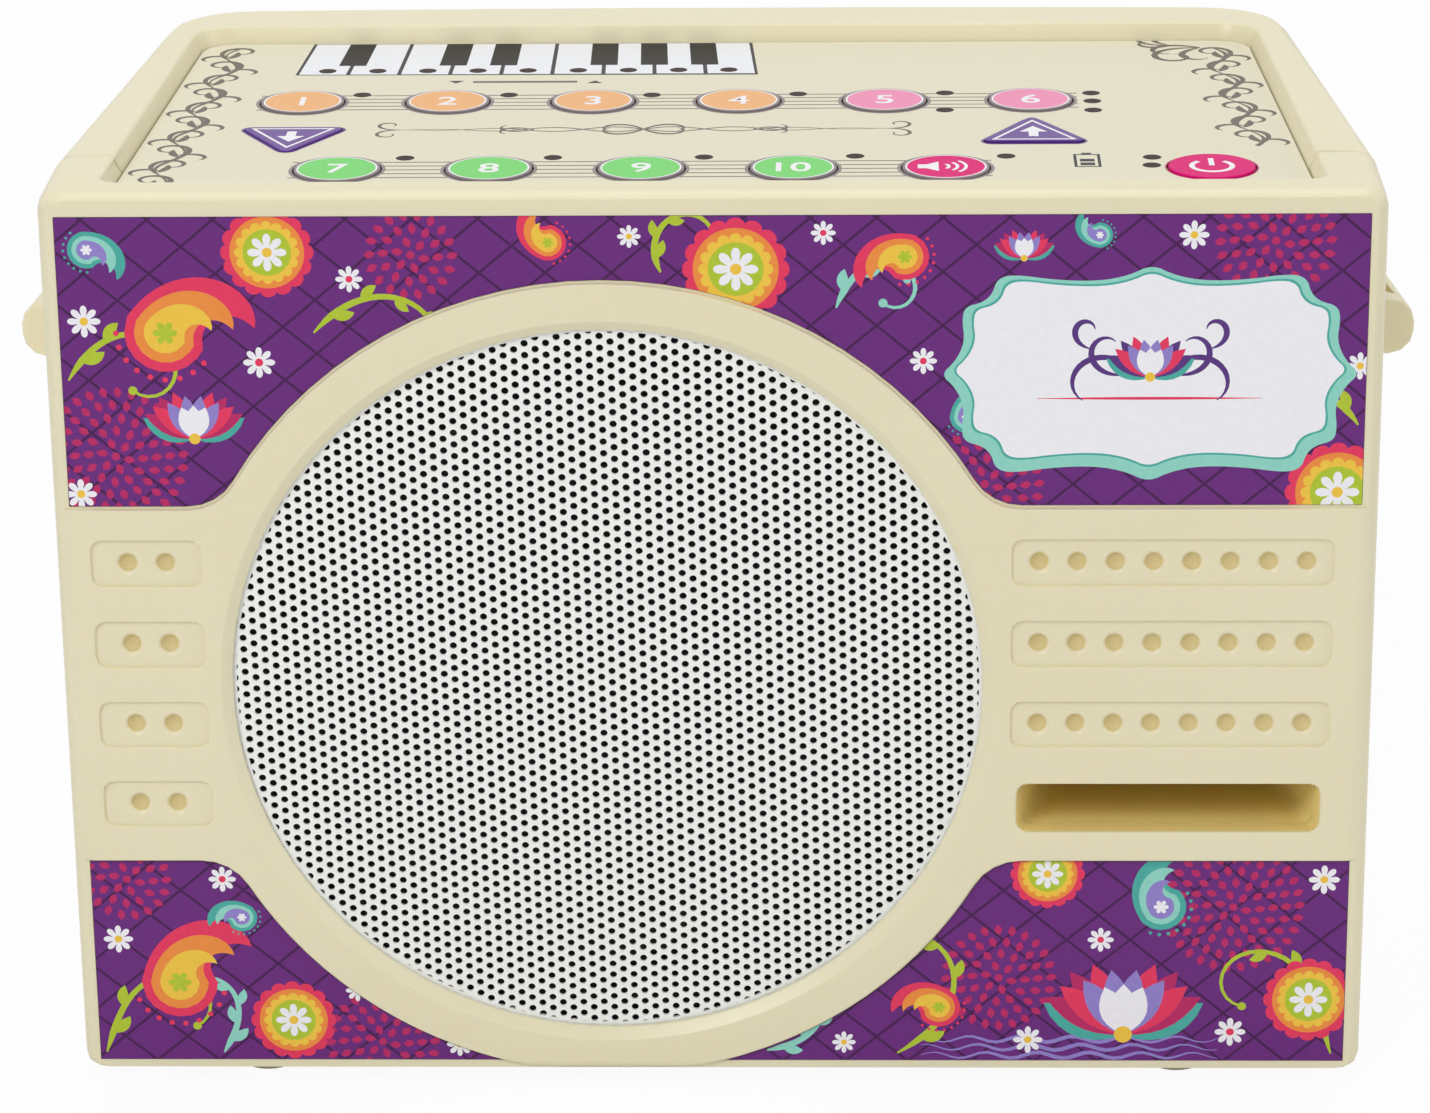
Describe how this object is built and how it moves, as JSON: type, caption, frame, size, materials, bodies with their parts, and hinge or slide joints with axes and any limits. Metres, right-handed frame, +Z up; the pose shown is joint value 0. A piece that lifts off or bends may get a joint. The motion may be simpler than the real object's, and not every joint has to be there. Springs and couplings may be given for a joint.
{
  "type": "electronic shruti box",
  "caption": "Electronic drone box: ivory moulded case with a round loudspeaker grille, printed front panels, a sunk membrane keypad on top and a strap loop on each side.",
  "frame": {"origin": "on the floor under the middle of the case's outer box, at the underside of the feet", "axes": "+X to the viewer's right facing the grille, +Y to the back of the case, +Z up"},
  "size_m": [0.23, 0.122, 0.1574],
  "materials": {
    "ivory_abs": "fine moulded texture",
    "printed_film": "printed and clear coated",
    "cream_sheet": "embossed membrane",
    "orange_key": "embossed membrane",
    "pink_key": "embossed membrane",
    "green_key": "embossed membrane",
    "magenta_key": "embossed membrane",
    "violet_key": "embossed membrane",
    "white_enamel_steel": "satin white paint",
    "black_foam": "matt",
    "black_paper": "pressed pulp",
    "spider_cloth": "resin dipped",
    "zinc_steel": "zinc plated",
    "copper_wire": "enamelled",
    "ferrite": "ground",
    "circuit_board": "solder mask",
    "cast_aluminium": "plain",
    "battery_film": "shrink film",
    "black_plastic": "moulded",
    "grey_ribbon": "satin",
    "red_lead": "satin",
    "black_lead": "satin"
  },
  "bodies": {
    "case": {"front_shell": "ivory_abs", "rear_shell": "ivory_abs", "strap_loop_left": "ivory_abs", "strap_loop_right": "ivory_abs", "foot_1": "ivory_abs", "foot_2": "ivory_abs", "foot_3": "ivory_abs", "foot_4": "ivory_abs", "case_screw_1": "zinc_steel", "case_screw_2": "zinc_steel", "case_screw_3": "zinc_steel", "case_screw_4": "zinc_steel", "label_upper": "printed_film", "label_lower_left": "printed_film", "label_lower_right": "printed_film", "keypad_plate": "ivory_abs", "keypad_sheet": "cream_sheet", "keypad_board": "circuit_board", "keypad_ribbon": "grey_ribbon", "speaker_grille": "white_enamel_steel", "grille_gasket": "black_foam", "speaker_basket": "zinc_steel", "speaker_surround": "black_foam", "speaker_spider": "spider_cloth", "speaker_top_plate": "zinc_steel", "speaker_magnet": "ferrite", "speaker_yoke": "zinc_steel", "speaker_screw_1": "zinc_steel", "speaker_screw_2": "zinc_steel", "speaker_screw_3": "zinc_steel", "speaker_screw_4": "zinc_steel", "speaker_lead": "red_lead", "port_duct": "ivory_abs", "main_board": "circuit_board", "heat_sink": "cast_aluminium", "battery_pack": "battery_film", "battery_clamp": "zinc_steel", "clamp_screw": "zinc_steel", "battery_lead": "black_lead", "dc_socket": "black_plastic", "line_out_socket": "black_plastic"},
    "key_back_1_cap": {"key_back_1": "orange_key"},
    "key_back_2_cap": {"key_back_2": "orange_key"},
    "key_back_3_cap": {"key_back_3": "orange_key"},
    "key_back_4_cap": {"key_back_4": "orange_key"},
    "key_back_5_cap": {"key_back_5": "pink_key"},
    "key_back_6_cap": {"key_back_6": "pink_key"},
    "key_front_1_cap": {"key_front_1": "green_key"},
    "key_front_2_cap": {"key_front_2": "green_key"},
    "key_front_3_cap": {"key_front_3": "green_key"},
    "key_front_4_cap": {"key_front_4": "green_key"},
    "key_front_5_cap": {"key_front_5": "magenta_key"},
    "key_power_cap": {"key_power": "magenta_key"},
    "key_down_cap": {"key_down": "violet_key"},
    "key_up_cap": {"key_up": "violet_key"},
    "cone": {"speaker_cone": "black_paper", "dust_cap": "black_paper", "voice_coil": "copper_wire"}
  },
  "joints": [
    {"name": "key_back_1_press", "type": "slide", "parent": "case", "child": "key_back_1_cap", "axis": [0, 0, -1], "range_m": [0, 0.0004], "stiffness_N_per_m": 800, "springref_m": -0.0005},
    {"name": "key_back_2_press", "type": "slide", "parent": "case", "child": "key_back_2_cap", "axis": [0, 0, -1], "range_m": [0, 0.0004], "stiffness_N_per_m": 800, "springref_m": -0.0005},
    {"name": "key_back_3_press", "type": "slide", "parent": "case", "child": "key_back_3_cap", "axis": [0, 0, -1], "range_m": [0, 0.0004], "stiffness_N_per_m": 800, "springref_m": -0.0005},
    {"name": "key_back_4_press", "type": "slide", "parent": "case", "child": "key_back_4_cap", "axis": [0, 0, -1], "range_m": [0, 0.0004], "stiffness_N_per_m": 800, "springref_m": -0.0005},
    {"name": "key_back_5_press", "type": "slide", "parent": "case", "child": "key_back_5_cap", "axis": [0, 0, -1], "range_m": [0, 0.0004], "stiffness_N_per_m": 800, "springref_m": -0.0005},
    {"name": "key_back_6_press", "type": "slide", "parent": "case", "child": "key_back_6_cap", "axis": [0, 0, -1], "range_m": [0, 0.0004], "stiffness_N_per_m": 800, "springref_m": -0.0005},
    {"name": "key_front_1_press", "type": "slide", "parent": "case", "child": "key_front_1_cap", "axis": [0, 0, -1], "range_m": [0, 0.0004], "stiffness_N_per_m": 800, "springref_m": -0.0005},
    {"name": "key_front_2_press", "type": "slide", "parent": "case", "child": "key_front_2_cap", "axis": [0, 0, -1], "range_m": [0, 0.0004], "stiffness_N_per_m": 800, "springref_m": -0.0005},
    {"name": "key_front_3_press", "type": "slide", "parent": "case", "child": "key_front_3_cap", "axis": [0, 0, -1], "range_m": [0, 0.0004], "stiffness_N_per_m": 800, "springref_m": -0.0005},
    {"name": "key_front_4_press", "type": "slide", "parent": "case", "child": "key_front_4_cap", "axis": [0, 0, -1], "range_m": [0, 0.0004], "stiffness_N_per_m": 800, "springref_m": -0.0005},
    {"name": "key_front_5_press", "type": "slide", "parent": "case", "child": "key_front_5_cap", "axis": [0, 0, -1], "range_m": [0, 0.0004], "stiffness_N_per_m": 800, "springref_m": -0.0005},
    {"name": "key_power_press", "type": "slide", "parent": "case", "child": "key_power_cap", "axis": [0, 0, -1], "range_m": [0, 0.0004], "stiffness_N_per_m": 800, "springref_m": -0.0005},
    {"name": "key_down_press", "type": "slide", "parent": "case", "child": "key_down_cap", "axis": [0, 0, -1], "range_m": [0, 0.0004], "stiffness_N_per_m": 800, "springref_m": -0.0005},
    {"name": "key_up_press", "type": "slide", "parent": "case", "child": "key_up_cap", "axis": [0, 0, -1], "range_m": [0, 0.0004], "stiffness_N_per_m": 800, "springref_m": -0.0005},
    {"name": "cone_travel", "type": "slide", "parent": "case", "child": "cone", "axis": [0, -1, 0], "range_m": [-0.0015, 0.0015], "stiffness_N_per_m": 1500}
  ]
}
